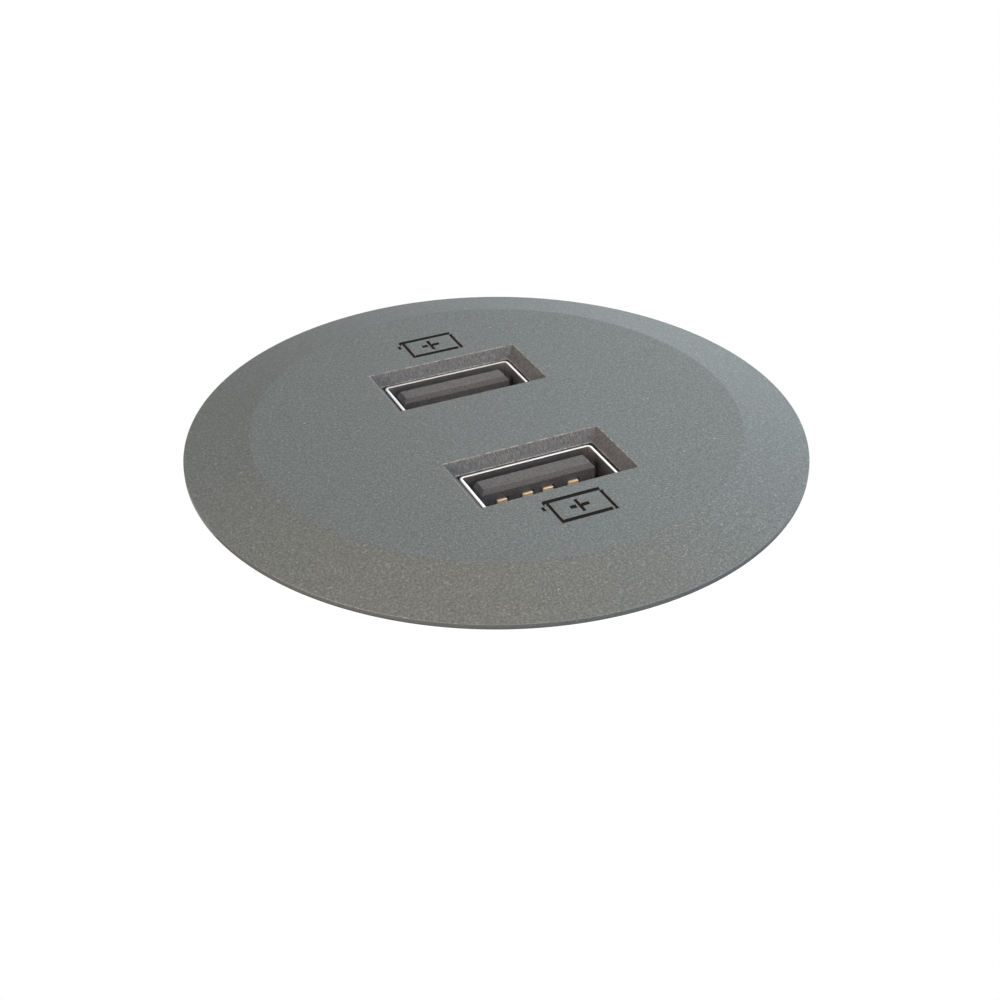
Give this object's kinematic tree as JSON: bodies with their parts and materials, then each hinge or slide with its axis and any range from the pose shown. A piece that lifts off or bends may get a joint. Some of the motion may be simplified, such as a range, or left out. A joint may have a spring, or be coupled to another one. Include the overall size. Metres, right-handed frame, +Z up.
{
  "type": "round desk socket",
  "caption": "Round metal-faced charging socket let into a desk top, with two upright USB ports in sunk pockets, a threaded barrel, a ring nut and a mains inlet below.",
  "frame": {"origin": "centre of the bezel's underside, on the surface of the desk", "axes": "+Z up out of the desk, +X along the long side of both ports, -Y to the front, which the ports' contacts face"},
  "size_m": [0.0606, 0.0606, 0.062],
  "materials": {
    "coat": "fine textured metallic grey coat on die-cast metal",
    "zinc_steel": "bright zinc plate",
    "black_plastic": "finely spark-eroded moulded plastic",
    "plated_shell": "bright nickel plate",
    "tongue_plastic": "moulded",
    "gold_contact": "gold flash",
    "circuit_board": "solder mask on glass laminate",
    "chip_plastic": "moulded",
    "bare_can": "drawn",
    "brass": "turned",
    "copper_wire": "enamelled copper",
    "ferrite": "sintered and ground",
    "bobbin_plastic": "moulded",
    "taped_winding": "copper winding under yellow film tape",
    "black_sleeve": "shrink sleeve on an aluminium can",
    "blue_sleeve": "shrink sleeve on an aluminium can",
    "yellow_case": "moulded",
    "blue_resin": "dipped resin",
    "fuse_case": "moulded",
    "pin_plating": "nickel plate on brass"
  },
  "bodies": {
    "socket": {"bezel": "coat", "bezel_screws": "zinc_steel", "barrel": "black_plastic", "rear_port_shell": "plated_shell", "front_port_shell": "plated_shell", "rear_port_tongue": "tongue_plastic", "front_port_tongue": "tongue_plastic", "rear_port_contacts": "gold_contact", "front_port_contacts": "gold_contact", "usb_board": "circuit_board", "power_board": "circuit_board", "charge_controllers": "chip_plastic", "port_capacitors": "bare_can", "board_spacers": "brass", "board_link_pins": "copper_wire", "transformer_core": "ferrite", "choke_core": "ferrite", "transformer_bobbin": "bobbin_plastic", "transformer_winding": "taped_winding", "choke_winding": "copper_wire", "bulk_capacitor": "black_sleeve", "output_capacitors": "blue_sleeve", "mains_capacitor": "yellow_case", "safety_capacitor": "blue_resin", "varistor": "blue_resin", "fuse": "fuse_case", "bridge_rectifier": "chip_plastic", "controller_ic": "chip_plastic", "optocoupler": "chip_plastic", "output_rectifier": "chip_plastic", "inlet_body": "black_plastic", "inlet_pins": "pin_plating", "base_cap": "black_plastic", "base_screws": "zinc_steel"},
    "washer": {"clamp_washer": "zinc_steel"},
    "nut": {"ring_nut": "black_plastic"}
  },
  "joints": [
    {"name": "washer_slide", "type": "slide", "parent": "socket", "child": "washer", "axis": [0, 0, 1], "range_m": [-0.015, 0.0105]},
    {"name": "nut_turn", "type": "hinge", "parent": "washer", "child": "nut", "pos_m": [0, 0, -0.0241], "axis": [0, 0, 1], "range_deg": [-1350, 945]}
  ],
  "couplings": [
    {"joint": "washer_slide", "follows": "nut_turn", "m_per_rad": 0.0006366}
  ]
}
